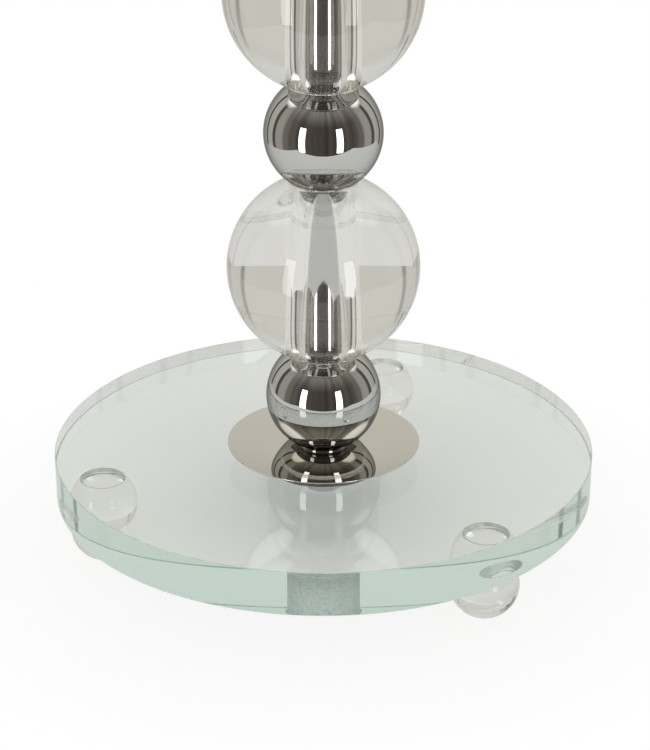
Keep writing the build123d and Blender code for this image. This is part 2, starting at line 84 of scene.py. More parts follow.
def make_piece(name, *parts, sharp=35.0):
    """One object from parts of points and faces, smooth except where it turns more than sharp degrees."""
    points, faces = [], []
    for part_points, part_faces in parts:
        faces += [[corner + len(points) for corner in face] for face in part_faces]
        points += part_points
    mesh = bpy.data.meshes.new(name)
    mesh.from_pydata(points, [], faces)
    solid = bmesh.new()
    solid.from_mesh(mesh)
    bmesh.ops.recalc_face_normals(solid, faces=solid.faces)
    solid.to_mesh(mesh)
    solid.free()
    mesh.shade_smooth()
    mesh.set_sharp_from_angle(angle=radians(sharp))
    made = bpy.data.objects.new(name, mesh)
    bpy.context.scene.collection.objects.link(made)
    return made


def fit(made, finish, body, slot, *nodes):
    """Gives a piece its material and the body that it moves with, and hides the CAD nodes it stands for. The
    slot is not used.
    """
    made.data.materials.append(finish)
    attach(made, body)
    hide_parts(*nodes)


def linear(hex_colour):
    """The linear colour that a shader takes, from sRGB hex."""
    shares = [int(hex_colour[place:place + 2], 16) / 255 for place in (1, 3, 5)]
    return [s / 12.92 if s <= 0.04045 else ((s + 0.055) / 1.055) ** 2.4 for s in shares] + [1.0]


def new_material(name):
    """An empty node material and its tree."""
    made = bpy.data.materials.new(name)
    made.use_nodes = True
    made.node_tree.nodes.clear()
    return made, made.node_tree


def add(tree, kind, settings=None, links=None):
    """Adds a node. Settings are its fields and socket values, and links are the sockets that feed it."""
    made = tree.nodes.new("ShaderNode" + kind)
    for name, value in (settings or {}).items():
        if isinstance(name, str) and hasattr(made, name):
            setattr(made, name, value)
        else:
            made.inputs[name].default_value = value
    for name, socket in (links or {}).items():
        tree.links.new(socket, made.inputs[name])
    return made


def clear_solid(name, ior, smear_size, smear, lamp_tint, tint, density):
    """A clear solid: it bends light, takes a little colour on the way and lets lamps shine through it.
    Smears of smear_size are what wiping leaves on the polish."""
    finish, tree = new_material(name)
    place = add(tree, "TexCoord").outputs["Object"]
    wiping = add(tree, "TexNoise", {"Scale": 1 / smear_size, "Detail": 3.0}, {"Vector": place})
    haze = add(
        tree,
        "MapRange",
        {"From Min": 0.55, "From Max": 0.8, "To Min": 0.0, "To Max": smear},
        {"Value": wiping.outputs["Fac"]},
    )
    glass = add(
        tree,
        "BsdfPrincipled",
        {"Base Color": linear("#ffffff"), "IOR": ior, "Transmission Weight": 1.0},
        {"Roughness": haze.outputs["Result"]},
    )
    path = add(tree, "LightPath")
    lamps = add(
        tree,
        "Math",
        {"operation": "MAXIMUM"},
        {0: path.outputs["Is Shadow Ray"], 1: path.outputs["Is Diffuse Ray"]},
    )
    through = add(tree, "BsdfTransparent", {"Color": linear(lamp_tint)})
    shown = add(tree, "MixShader", {}, {0: lamps.outputs[0], 1: glass.outputs[0], 2: through.outputs[0]})
    depth = add(tree, "VolumeAbsorption", {"Color": linear(tint), "Density": density})
    add(tree, "OutputMaterial", {}, {"Surface": shown.outputs[0], "Volume": depth.outputs[0]})
    return finish


def grained(name, grain, detail, dark, pale, settings, spread=(0.0, 1.0), dents=None, gloss=None):
    """A finish whose tone wanders from dark to pale over grains of that size, between the shares in spread.
    Settings hold all over; dents (strength, depth) and gloss (a range of roughness) follow the grains."""
    finish, tree = new_material(name)
    place = add(tree, "TexCoord").outputs["Object"]
    grains = add(tree, "TexNoise", {"Scale": 1 / grain, "Detail": detail}, {"Vector": place}).outputs["Fac"]
    tone = add(tree, "ValToRGB", {}, {"Fac": grains})
    for stop, position, colour in zip(tone.color_ramp.elements, spread, (dark, pale)):
        stop.position = position
        stop.color = linear(colour)
    links = {"Base Color": tone.outputs["Color"]}
    if dents:
        relief = add(tree, "Bump", {"Strength": dents[0], "Distance": dents[1]}, {"Height": grains})
        links["Normal"] = relief.outputs["Normal"]
    if gloss:
        shine = add(tree, "MapRange", {"To Min": gloss[0], "To Max": gloss[1]}, {"Value": grains})
        links["Roughness"] = shine.outputs["Result"]
    surface = add(tree, "BsdfPrincipled", settings, links)
    add(tree, "OutputMaterial", {}, {"Surface": surface.outputs[0]})
    return finish


# Float glass, fire-polished on its faces: clear across its thickness, and green along its width
float_glass = clear_solid("float_glass_polished", 1.54, 30 * MM, 0.005, "#fcfdfc", "#98dcc6", 1.7)

# Diamond-drilled glass: a white grind, without gloss of its own inside the glass, with the drill's streaks
# running round it, drawn coarser than real, so that they show in the render
ground_bore, tree = new_material("float_glass_diamond_drilled")
place = add(tree, "TexCoord").outputs["Object"]
streak_length, streak_height = 1.2 * MM, 0.6 * MM
streaked = add(
    tree,
    "Mapping",
    {"Scale": (1 / streak_length, 1 / streak_length, 1 / streak_height)},
    {"Vector": place},
)
streaks = add(tree, "TexNoise", {"Scale": 1.0, "Detail": 4.0}, {"Vector": streaked.outputs["Vector"]})
tone = add(tree, "ValToRGB", {}, {"Fac": streaks.outputs["Fac"]})
tone.color_ramp.elements[0].position = 0.36
tone.color_ramp.elements[0].color = linear("#cfe6dc")
tone.color_ramp.elements[1].position = 0.5
tone.color_ramp.elements[1].color = linear("#ffffff")
relief = add(tree, "Bump", {"Strength": 0.4, "Distance": 0.2 * MM}, {"Height": streaks.outputs["Fac"]})
frost = add(
    tree,
    "BsdfPrincipled",
    {"IOR": 1.52, "Roughness": 0.9, "Specular IOR Level": 0.0},
    {"Base Color": tone.outputs["Color"], "Normal": relief.outputs["Normal"]},
)
add(tree, "OutputMaterial", {}, {"Surface": frost.outputs[0]})

# Ground arris: a narrow frosted band that keeps the glass's green and ends the rim in a fine darker line
ground_arris = grained(
    "float_glass_ground_arris", grain=4 * MM, detail=3.0, dark="#b0c1b8", pale="#c6d4cc",
    settings={"IOR": 1.52, "Roughness": 0.45}, spread=(0.35, 0.7),
)

base_outline = [
    (base_bore_radius, base_low.z + base_bore_bevel),
    (base_bore_radius + base_bore_bevel, base_low.z),
    (base_radius - base_bevel, base_low.z),
    (base_radius, base_low.z + base_bevel),
    (base_radius, base_high.z - base_bevel),
    (base_radius - base_bevel, base_high.z),
    (base_bore_radius + base_bore_bevel, base_high.z),
    (base_bore_radius, base_high.z - base_bore_bevel),
]
base = make_piece("glass_base_disc", lathe(base_outline, steps=360))
fit(base, float_glass, "stand", "float_glass", "glass_base")
base.data.materials.append(ground_bore)
base.data.materials.append(ground_arris)
upright_limit, level_limit = 0.1, 0.9
for face in base.data.polygons:
    if hypot(face.center.x, face.center.y) < base_bore_radius + base_bore_bevel:
        face.material_index = 1
    elif upright_limit < abs(face.normal.z) < level_limit:
        face.material_index = 2

# Ball feet: solid pressed glass balls with a ground flat on top for the glue and a small one to stand on.
# The glue is a thin clear film that squeezes out into a fine ring where ball and disc meet.
foot_rest_radius = 3.0 * MM
glue_drop = 0.25 * MM
glue_spread = 0.5 * MM
glue_steps = 4

# Where pieces touch, this gap or overlap keeps two faces from lying in one place
contact = 0.02 * MM

# Pressed soda glass, fire-polished: nearly colourless, with a trace of warm grey in its depth
ball_glass = clear_solid("soda_glass_fire_polished", 1.545, 14 * MM, 0.015, "#fafaf8", "#e9e6dc", 3.0)

# Cured clear glue: as clear as the glass, so only its edge catches light
clear_glue = clear_solid("clear_glue_cured", 1.49, 4 * MM, 0.05, "#fafafa", "#e6f0e8", 3.0)

for number in (1, 2, 3):
    foot_low, foot_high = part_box(f"foot_ball_{number}")
    foot_axis = ((foot_low.x + foot_high.x) / 2, (foot_low.y + foot_high.y) / 2)
    foot_radius = (foot_high.x - foot_low.x) / 2
    foot_height = sqrt(foot_radius**2 - foot_rest_radius**2)
    bond_height = base_low.z + contact
    low_turn = degrees(asin(-foot_height / foot_radius))
    high_turn = degrees(asin((bond_height - foot_height) / foot_radius))
    foot_outline = [(0.0, 0.0)]
    foot_outline += arc(0.0, foot_height, foot_radius, low_turn, high_turn, steps=72)
    foot_outline += [(0.0, bond_height)]
    foot = make_piece(f"glass_foot_{number}", lathe(foot_outline, foot_axis))
    fit(foot, ball_glass, "stand", "ball_glass", f"foot_ball_{number}")

    glue_turn = degrees(asin((base_low.z - glue_drop - foot_height) / foot_radius))
    glue_outline = arc(0.0, foot_height, foot_radius - contact, high_turn, glue_turn, steps=6)
    glue_low = glue_outline[-1]
    glue_edge = (glue_low[0] + glue_spread, bond_height)
    for step in range(1, glue_steps + 1):
        share = step / glue_steps
        glue_outline.append(
            (
                glue_low[0] + (glue_edge[0] - glue_low[0]) * share**2,
                glue_low[1] + (glue_edge[1] - glue_low[1]) * sqrt(share),
            )
        )
    glue = make_piece(f"glue_ring_{number}", lathe(glue_outline, foot_axis, steps=96))
    fit(glue, clear_glue, "stand", "clear_glue", f"foot_bond_{number}")

# Mirror plate: a disc of 0.5 mm stainless sheet, mirror-polished, with a soft edge.
# It spreads the stem's load on the glass, and a clear film under it keeps steel and glass apart.
rod_hole_radius = 5.3 * MM
plate_edge = 0.15 * MM
film_edge = 0.04 * MM


def turned_ring(name, node, hole, edge, finish, body, slot, under=0.0, over=0.0, steps=160):
    """A ring with corners rounded by edge, turned to a node's box less the gaps under and over it."""
    low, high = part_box(node)
    section = []
    for radius, height, start in (
        (high.x - edge, low.z + under + edge, -90),
        (high.x - edge, high.z - over - edge, 0),
        (hole + edge, high.z - over - edge, 90),
        (hole + edge, low.z + under + edge, 180),
    ):
        section += arc(radius, height, edge, start, start + 90, steps=4)
    fit(make_piece(name, lathe(section, steps=steps)), finish, body, slot, node)


def wave_scale(spacing):
    """The wave texture's scale for bands that far apart. At scale 1 they stand a tenth of pi apart."""
    return pi / 10 / spacing


# Mirror-polished stainless steel: warm grey, with the faint rings of the buffing wheel in its gloss,
# drawn 5 mm apart, much coarser than real, so that they show
mirror_steel, tree = new_material("stainless_steel_mirror_polished")
place = add(tree, "TexCoord").outputs["Object"]
buff_spacing = 5.0 * MM
buffing = add(
    tree,
    "TexWave",
    {
        "wave_type": "RINGS",
        "rings_direction": "Z",
        "Scale": wave_scale(buff_spacing),
        "Distortion": 3.0,
        "Detail": 3.0,
    },
    {"Vector": place},
)
haze = add(tree, "MapRange", {"To Min": 0.015, "To Max": 0.05}, {"Value": buffing.outputs["Fac"]})
steel = add(
    tree,
    "BsdfPrincipled",
    {"Base Color": linear("#d6d3cc"), "Metallic": 1.0},
    {"Roughness": haze.outputs["Result"]},
)
add(tree, "OutputMaterial", {}, {"Surface": steel.outputs[0]})
turned_ring(
    "steel_plate", "mirror_plate", rod_hole_radius, plate_edge, mirror_steel, "stand", "mirror_steel",
    steps=240,
)

# Clear vinyl film: soft and slightly cloudy, seen only as a pale line under the steel
clear_film = clear_solid("clear_vinyl_calendered", 1.53, 6 * MM, 0.12, "#f4f4f0", "#eeeeda", 4.0)
turned_ring(
    "plate_film", "plate_gasket", base_bore_radius, film_edge, clear_film, "stand", "clear_film",
    under=contact, over=contact, steps=240,
)

# Tie rod and its fasteners: a zinc-plated threaded rod through the whole lamp, pulled tight under the base
# by a hexagon nut with a split washer, a wide steel washer and a rubber washer against the glass.
rod_low, rod_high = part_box("tie_rod")
rod_radius = rod_high.x
rod_chamfer = 1.0 * MM
thread_pitch = 1.5 * MM
thread_depth = 0.6 * MM
thread_sides = 24
thread_rows = 6

# Bright zinc plate: bluish grey steel with a satin gloss and a crystalline mottle, drawn coarser than real
zinc_steel = grained(
    "steel_bright_zinc_plated", grain=1.5 * MM, detail=6.0, dark="#a3a8ac", pale="#cfd0ce",
    settings={"Metallic": 1.0}, gloss=(0.22, 0.42),
)

rod_points, rod_faces = [], []
row_height = thread_pitch / thread_rows
row_count = int((rod_high.z - rod_low.z) / row_height)
for row in range(row_count + 1):
    height = rod_low.z + (rod_high.z - rod_low.z) * row / row_count
    from_end = min(height - rod_low.z, rod_high.z - height)
    blank = rod_radius - max(rod_chamfer - from_end, 0.0)
    for side in range(thread_sides):
        turn = 2 * pi * side / thread_sides
        phase = (height / thread_pitch - side / thread_sides) % 1
        flank = rod_radius - thread_depth * (1 - abs(2 * phase - 1))
        reach = min(blank, flank)
        rod_points.append(Vector((reach * cos(turn), reach * sin(turn), height)))
for row in range(row_count):
    for side in range(thread_sides):
        first, second = row * thread_sides + side, row * thread_sides + (side + 1) % thread_sides
        rod_faces.append([first, second, second + thread_sides, first + thread_sides])
rod_faces.append(list(range(thread_sides)))
rod_faces.append([row_count * thread_sides + side for side in range(thread_sides)])
rod = make_piece("threaded_rod", (rod_points, rod_faces), sharp=50.0)
fit(rod, zinc_steel, "stand", "zinc_steel", "tie_rod")

washer_edge = 0.4 * MM
turned_ring("steel_washer", "under_washer", rod_hole_radius, washer_edge, zinc_steel, "stand", "zinc_steel")


def dress(node, finish):
    """Puts a finish on a CAD node that keeps its own shape."""
    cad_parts[node].material_slots[0].material = finish


dress("lock_washer", zinc_steel)
dress("base_nut", zinc_steel)

# Moulded rubber: matt black, with the grain of the mould, drawn coarser than real
black_rubber = grained(
    "rubber_moulded", grain=0.6 * MM, detail=4.0, dark="#1d1d1e", pale="#3a3a3b",
    settings={"Roughness": 0.75, "IOR": 1.52}, dents=(0.3, 0.1 * MM),
)
rubber_edge = 0.5 * MM
turned_ring(
    "rubber_washer", "under_gasket", rod_hole_radius, rubber_edge, black_rubber, "stand", "black_rubber",
    over=contact,
)

# Chrome balls: hollow balls spun from brass sheet, flattened at both poles, polished and chrome-plated.
# They are threaded on the rod and take turns with the glass balls.
# A turned ring lifts the first one off the plate.
spacer_edge = 0.6 * MM
ball_bevel = 0.5 * MM

# Bright chrome plate: a cool mirror with only the slightest haze, a little darker towards its outline: its
# dark edge tint paints shade there, far beyond the slight dimming of real chrome
chrome, tree = new_material("chrome_plate_mirror_bright")
place = add(tree, "TexCoord").outputs["Object"]
wiping = add(tree, "TexNoise", {"Scale": 1 / (9 * MM), "Detail": 4.0}, {"Vector": place})
haze = add(
    tree,
    "MapRange",
    {"From Min": 0.4, "From Max": 0.75, "To Min": 0.008, "To Max": 0.03},
    {"Value": wiping.outputs["Fac"]},
)
# The dark Specular Tint is painted shade: it dims the reflection towards the outline
plating = add(
    tree,
    "BsdfPrincipled",
    {"Base Color": linear("#cdcdcb"), "Metallic": 1.0, "Specular Tint": linear("#a0a0a0")},
    {"Roughness": haze.outputs["Result"]},
)
add(tree, "OutputMaterial", {}, {"Surface": plating.outputs[0]})


def ball_outline(bore_radius, bevel, low, high, radius):
    """Section of a ball with a flat at each pole and a bore, bevelled at its mouths."""
    half = (high - low) / 2
    reach = degrees(asin(half / radius))
    return (
        [(bore_radius, low + bevel), (bore_radius + bevel, low)]
        + arc(0.0, low + half, radius, -reach, reach, steps=96)
        + [(bore_radius + bevel, high), (bore_radius, high - bevel)]
    )


turned_ring("turned_spacer", "ball_spacer", rod_hole_radius, spacer_edge, chrome, "stand", "chrome")
for number in (1, 2, 3):
    ball_low, ball_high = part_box(f"chrome_ball_{number}")
    section = ball_outline(rod_hole_radius, ball_bevel, ball_low.z, ball_high.z, ball_high.x)
    ball = make_piece(f"chrome_stem_ball_{number}", lathe(section, steps=200))
    fit(ball, chrome, "stand", "chrome", f"chrome_ball_{number}")

# Glass balls: solid balls of clear glass, drilled through, with a ground and polished flat at each pole.
# A chrome tube lines each bore and hides the rod, and thin clear washers part the glass from the chrome.
glass_bore_radius = 10.0 * MM
sleeve_hole_radius = 6.5 * MM
sleeve_edge = 0.1 * MM
seat_hole_radius = 7.8 * MM
seat_edge = 0.1 * MM

# Drawn tube, chrome-plated: a mirror with lines along its length, drawn coarser than real
chrome_tube, tree = new_material("chrome_plate_on_drawn_tube")
place = add(tree, "TexCoord").outputs["Object"]
draw_line, draw_length = 0.5 * MM, 125 * MM
drawn = (1 / draw_line, 1 / draw_line, 1 / draw_length)
along = add(tree, "Mapping", {"Scale": drawn}, {"Vector": place})
lines = add(tree, "TexNoise", {"Scale": 1.0, "Detail": 3.0}, {"Vector": along.outputs["Vector"]})
gloss = add(tree, "MapRange", {"To Min": 0.03, "To Max": 0.12}, {"Value": lines.outputs["Fac"]})
relief = add(tree, "Bump", {"Strength": 0.25, "Distance": 0.05 * MM}, {"Height": lines.outputs["Fac"]})
plating = add(
    tree,
    "BsdfPrincipled",
    {"Base Color": linear("#cdcecd"), "Metallic": 1.0},
    {"Roughness": gloss.outputs["Result"], "Normal": relief.outputs["Normal"]},
)
add(tree, "OutputMaterial", {}, {"Surface": plating.outputs[0]})

for number in (1, 2):
    ball_low, ball_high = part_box(f"glass_ball_{number}")
    section = ball_outline(glass_bore_radius, ball_bevel, ball_low.z, ball_high.z, ball_high.x)
    ball = make_piece(f"glass_stem_ball_{number}", lathe(section, steps=240))
    fit(ball, ball_glass, "stand", "ball_glass", f"glass_ball_{number}")
    turned_ring(
        f"bore_tube_{number}", f"bore_sleeve_{number}", sleeve_hole_radius, sleeve_edge,
        chrome_tube, "stand", "chrome",
    )

for number in (1, 2, 3, 4):
    turned_ring(
        f"clear_washer_{number}", f"seat_washer_{number}", seat_hole_radius, seat_edge,
        clear_film, "stand", "clear_film", under=contact, over=contact,
    )

# Drip pan and socket: a shallow spun dish with a rolled rim that catches the wax, and the turned plug
# that screws on the rod, clamps the stem and centres the candle tube.
pan_low, pan_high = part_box("drip_pan")
pan_thickness = 1.0 * MM
pan_floor_radius = 22.0 * MM
pan_bead_radius = 1.3 * MM
pan_middle = pan_low.z + pan_thickness / 2
pan_rim = (pan_high.x - pan_bead_radius, pan_high.z - pan_bead_radius)
pan_run = pan_rim[0] - pan_floor_radius
pan_rise = pan_rim[1] - pan_middle
pan_bend = (pan_run**2 + pan_rise**2) / (2 * pan_rise)
pan_turn = degrees(atan2(pan_rise - pan_bend, pan_run))
bead_turn = degrees(acos(pan_thickness / 2 / pan_bead_radius))
bead_join = degrees(sqrt(pan_bead_radius**2 - (pan_thickness / 2) ** 2) / pan_bend)
pan_wall = (pan_floor_radius, pan_middle + pan_bend)
pan_outline = (
    [(rod_hole_radius, pan_low.z)]
    + arc(*pan_wall, pan_bend + pan_thickness / 2, -90, pan_turn - bead_join, steps=24)
    + arc(*pan_rim, pan_bead_radius, pan_turn - bead_turn, pan_turn + 180 + bead_turn, steps=20)
    + arc(*pan_wall, pan_bend - pan_thickness / 2, pan_turn - bead_join, -90, steps=24)
    + [(rod_hole_radius, pan_low.z + pan_thickness)]
)
pan = make_piece("spun_drip_pan", lathe(pan_outline, steps=200))
fit(pan, chrome, "stand", "chrome", "drip_pan")

socket_low, socket_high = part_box("tube_socket")
tube_low, tube_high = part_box("candle_tube")
tube_radius = tube_high.x
tube_wall = 1.0 * MM
socket_edge = 1.2 * MM
socket_spigot_radius = tube_radius - tube_wall - contact
socket_thread_depth = 14.0 * MM
socket_outline = (
    [(rod_radius, socket_low.z)]
    + arc(socket_high.x - socket_edge / 2, socket_low.z + socket_edge / 2, socket_edge / 2, -90, 0, steps=4)
    + arc(socket_high.x - socket_edge, tube_low.z - socket_edge, socket_edge, 0, 90, steps=6)
    + [
        (socket_spigot_radius, tube_low.z),
        (socket_spigot_radius, socket_high.z),
        (0.0, socket_high.z),
        (0.0, socket_low.z + socket_thread_depth),
        (rod_radius, socket_low.z + socket_thread_depth),
    ]
)
socket = make_piece("turned_socket", lathe(socket_outline))
fit(socket, chrome, "stand", "chrome", "tube_socket")

# Candle tube: thin steel tube, stove-enamelled ivory, that holds the candle on its spring.
# Two rivets near its top catch the nozzle cap, and a pressed-on chrome ring carries the shade's carrier.
tube_edge = 0.35 * MM
stop_edge = 0.5 * MM

# Stove enamel: a smooth ivory coat with a slight orange peel and a soft gloss
ivory_enamel, tree = new_material("stove_enamel_ivory")
place = add(tree, "TexCoord").outputs["Object"]
peel = add(tree, "TexNoise", {"Scale": 1 / (1.8 * MM), "Detail": 2.0}, {"Vector": place})
cloud = add(tree, "TexNoise", {"Scale": 1 / (22 * MM), "Detail": 2.0}, {"Vector": place})
tone = add(tree, "ValToRGB", {}, {"Fac": cloud.outputs["Fac"]})
tone.color_ramp.elements[0].color = linear("#e3dbc4")
tone.color_ramp.elements[1].color = linear("#ece6d4")
relief = add(tree, "Bump", {"Strength": 0.06, "Distance": 0.1 * MM}, {"Height": peel.outputs["Fac"]})
gloss = add(tree, "MapRange", {"To Min": 0.2, "To Max": 0.32}, {"Value": peel.outputs["Fac"]})
enamel = add(
    tree,
    "BsdfPrincipled",
    {"IOR": 1.5},
    {
        "Base Color": tone.outputs["Color"],
        "Roughness": gloss.outputs["Result"],
        "Normal": relief.outputs["Normal"],
    },
)
add(tree, "OutputMaterial", {}, {"Surface": enamel.outputs[0]})

turned_ring(
    "enamelled_tube", "candle_tube", tube_radius - tube_wall, tube_edge,
    ivory_enamel, "stand", "ivory_enamel",
)
dress("bayonet_pins", chrome)
turned_ring("stop_ring", "carrier_stop", tube_radius, stop_edge, chrome, "stand", "chrome")

# Candle, wick and feed: a wax candle with a coned top, on a brass follower that a coil spring pushes up.
# The cone stops against the nozzle cap, and the braided wick stands free above it.
candle_low, candle_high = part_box("candle")
candle_radius = candle_high.x
candle_tip_radius = 4.0 * MM
candle_shoulder = candle_high.z - (candle_radius - candle_tip_radius)
candle_edge = 1.0 * MM
shoulder_drop = candle_edge * (sqrt(2) - 1)
wick_low, wick_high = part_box("wick")
wick_radius = wick_high.x
strand_count = 3
strand_radius = wick_radius / 2
strand_pitch = 6.0 * MM
strand_steps = 14


def tube(path, sides=16):
    """Points and faces of a round skin along (point, radius) pairs, closed at both ends."""
    points, faces = [], []
    across = None
    for place, (centre, radius) in enumerate(path):
        before, after = path[max(place - 1, 0)][0], path[min(place + 1, len(path) - 1)][0]
        along = (after - before).normalized()
        across = along.orthogonal() if across is None else across
        across = (across - along * across.dot(along)).normalized()
        beside = along.cross(across)
        turns = [2 * pi * side / sides for side in range(sides)]
        points += [centre + (across * cos(turn) + beside * sin(turn)) * radius for turn in turns]
    for first in range(0, len(points) - sides, sides):
        for side in range(sides):
            low, high = first + side, first + (side + 1) % sides
            faces.append([low, high, high + sides, low + sides])
    faces.append(list(range(sides)))
    faces.append(list(range(len(points) - sides, len(points))))
    return points, faces


# Drawn spring wire: dark grey and satin, with the mottle that drawing leaves
spring_steel = grained(
    "spring_steel_drawn", grain=0.7 * MM, detail=4.0, dark="#7d7f83", pale="#a5a7aa",
    settings={"Metallic": 1.0, "Roughness": 0.32},
)

spring_low, spring_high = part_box("feed_spring")
spring_wire_radius = 0.6 * MM
spring_radius = spring_high.x - spring_wire_radius
spring_turns = 8
spring_steps = 24
spring_path = []
for step in range(spring_turns * spring_steps + 1):
    turn = 2 * pi * step / spring_steps
    share = step / (spring_turns * spring_steps)
    height = spring_low.z + spring_wire_radius
    height += (spring_high.z - spring_low.z - 2 * spring_wire_radius) * share
    centre = Vector((spring_radius * cos(turn), spring_radius * sin(turn), height))
    spring_path.append((centre, spring_wire_radius))
spring = make_piece("coil_spring", tube(spring_path, sides=12))
fit(spring, spring_steel, "stand", "spring_steel", "feed_spring")
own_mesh(spring)

# Turned brass: yellow metal with the rings of the lathe tool, drawn 2.5 mm apart, coarser than real
turned_brass, tree = new_material("brass_turned")
place = add(tree, "TexCoord").outputs["Object"]
tool_spacing = 2.5 * MM
rings = add(
    tree,
    "TexWave",
    {"wave_type": "RINGS", "rings_direction": "Z", "Scale": wave_scale(tool_spacing), "Distortion": 0.5},
    {"Vector": place},
)
gloss = add(tree, "MapRange", {"To Min": 0.18, "To Max": 0.34}, {"Value": rings.outputs["Fac"]})
brass = add(
    tree,
    "BsdfPrincipled",
    {"Base Color": linear("#d9b668"), "Metallic": 1.0},
    {"Roughness": gloss.outputs["Result"]},
)
add(tree, "OutputMaterial", {}, {"Surface": brass.outputs[0]})
dress("spring_follower", turned_brass)

# Moulded paraffin wax: creamy white, letting some light in, with a waxy bloom
candle_wax = grained(
    "paraffin_wax_moulded", grain=5 * MM, detail=4.0, dark="#eee5cf", pale="#f5efdf",
    settings={"Roughness": 0.42, "IOR": 1.44, "Subsurface Weight": 0.35, "Subsurface Scale": 3 * MM},
    dents=(0.15, 0.2 * MM),
)

candle_outline = (
    [(0.0, candle_low.z)]
    + arc(candle_radius - candle_edge, candle_low.z + candle_edge, candle_edge, -90, 0, steps=5)
    + arc(candle_radius - candle_edge, candle_shoulder - shoulder_drop, candle_edge, 0, 45, steps=5)
    + arc(candle_tip_radius - candle_edge, candle_high.z - candle_edge, candle_edge, 45, 90, steps=5)
    + [(0.0, candle_high.z)]
)
wax_candle = make_piece("wax_candle", lathe(candle_outline, steps=120))
fit(wax_candle, candle_wax, "candle", "wax", "candle")

# Braided cotton, waxed: cream strands that catch light along their twist
braided_cotton = grained(
    "cotton_braided_waxed", grain=0.4 * MM, detail=4.0, dark="#c9bfa6", pale="#efe8d6",
    settings={"Roughness": 0.7, "Sheen Weight": 0.2}, dents=(0.6, 0.1 * MM),
)

strands = []
strand_rows = int((wick_high.z - wick_low.z) / strand_pitch * strand_steps)
for strand in range(strand_count):
    path = []
    for row in range(strand_rows + 1):
        share = row / strand_rows
        turn = 2 * pi * (row / strand_steps + strand / strand_count)
        swing = wick_radius - strand_radius
        height = wick_low.z + (wick_high.z - wick_low.z) * share
        path.append((Vector((swing * cos(turn), swing * sin(turn), height)), strand_radius))
    strands.append(tube(path, sides=10))
braid = make_piece("braided_wick", *strands)
fit(braid, braided_cotton, "candle", "cotton", "wick")

# Nozzle cap: a chrome cap that slips over the tube, turns under the rivets in its bayonet slots
# and holds the candle down by its cone.
dress("nozzle_cap", chrome)

# Shade carrier: a turned chrome collar that turns on the tube, with three bent wire arms brazed into it
# and a ring of wire round the arms that the shade rests on.
collar_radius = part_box("carrier_collar")[1].x
collar_inner_radius = 14.3 * MM
collar_edge = 0.6 * MM
arm_count = 3
arm_first_angle = 90.0
arm_low, arm_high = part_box("carrier_arm_1")
arm_wire_radius = 1.5 * MM
arm_height = arm_low.z + arm_wire_radius
arm_reach = arm_high.y - arm_wire_radius
arm_bend = arm_reach - collar_radius
arm_root_depth = 0.4 * MM
tip_steps = 6
tip_point = 0.05 * MM
gallery_low, gallery_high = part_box("gallery_ring")
gallery_wire_radius = (gallery_high.z - gallery_low.z) / 2
gallery_radius = gallery_high.x - gallery_wire_radius
gallery_height = (gallery_low.z + gallery_high.z) / 2
braze_length = 3.0 * MM
braze_radius = 1.1 * MM

turned_ring("turned_collar", "carrier_collar", collar_inner_radius, collar_edge, chrome, "carrier", "chrome")


def outward(angle, radius, height):
    """The point at that radius and height, turned by angle degrees round the lamp's axis."""
    return Vector((radius * cos(radians(angle)), radius * sin(radians(angle)), height))


def bead(middle, direction, length, radius, steps=8, blunt=0.05):
    """Points and faces of a small spindle of brazing metal or weld, with blunt ends."""
    path = []
    for step in range(steps + 1):
        share = step / steps
        swell = max(sin(pi * share) ** 0.5, blunt)
        path.append((middle + direction * (share - 0.5) * length, radius * swell))
    return tube(path, sides=12)


def wire_outline(radius, height, wire_radius, sides=24):
    """Section of a ring of round wire."""
    return arc(radius, height, wire_radius, 0, 360 - 360 / sides, sides - 1)


brazes = []
for number in range(arm_count):
    angle = arm_first_angle + number * 360 / arm_count
    bend = arc(collar_radius, arm_height + arm_bend, arm_bend, -90, 0, steps=24)
    path = [(outward(angle, collar_radius - arm_root_depth, arm_height), arm_wire_radius)]
    path += [(outward(angle, radius, height), arm_wire_radius) for radius, height in bend]
    for step in range(tip_steps + 1):
        tip = step / tip_steps * pi / 2
        height = arm_high.z - arm_wire_radius * (1 - sin(tip))
        path.append((outward(angle, arm_reach, height), max(arm_wire_radius * cos(tip), tip_point)))
    arm = make_piece(f"wire_arm_{number + 1}", tube(path, sides=20))
    fit(arm, chrome, "carrier", "chrome", f"carrier_arm_{number + 1}")
    joint = outward(angle, (arm_reach + gallery_radius) / 2, gallery_height)
    brazes.append(bead(joint, Vector((0.0, 0.0, 1.0)), braze_length, braze_radius))

gallery_outline = wire_outline(gallery_radius, gallery_height, gallery_wire_radius)
gallery = make_piece("wire_gallery", lathe(gallery_outline, steps=180), *brazes)
fit(gallery, chrome, "carrier", "chrome", "gallery_ring")

# Shade frame: two rings, six ribs and a spoked fitter ring of steel wire, spot-welded and
# powder-coated white. The fitter ring drops over the carrier's arms and rests on its gallery.
ring_wire_radius = 1.5 * MM
rib_wire_radius = 1.3 * MM
spoke_wire_radius = 1.1 * MM
rib_count = 6
spoke_count = 3
rib_first_angle = 30.0
weld_length = 7.0 * MM
weld_radius = 1.9 * MM

# Powder coat: white, softly pebbled, half gloss
white_powder = grained(
    "powder_coat_white", grain=0.7 * MM, detail=2.0, dark="#dcdad4", pale="#ebe9e4",
    settings={"Roughness": 0.42, "IOR": 1.5}, dents=(0.2, 0.08 * MM),
)

ring_lines = {}
for node, name in (
    ("shade_bottom_ring", "wire_ring_bottom"),
    ("shade_top_ring", "wire_ring_top"),
    ("fitter_ring", "wire_ring_fitter"),
):
    ring_low, ring_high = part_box(node)
    ring_lines[node] = (ring_high.x - ring_wire_radius, (ring_low.z + ring_high.z) / 2)
    ring = make_piece(name, lathe(wire_outline(*ring_lines[node], ring_wire_radius), steps=200))
    fit(ring, white_powder, "shade", "white_wire", node)


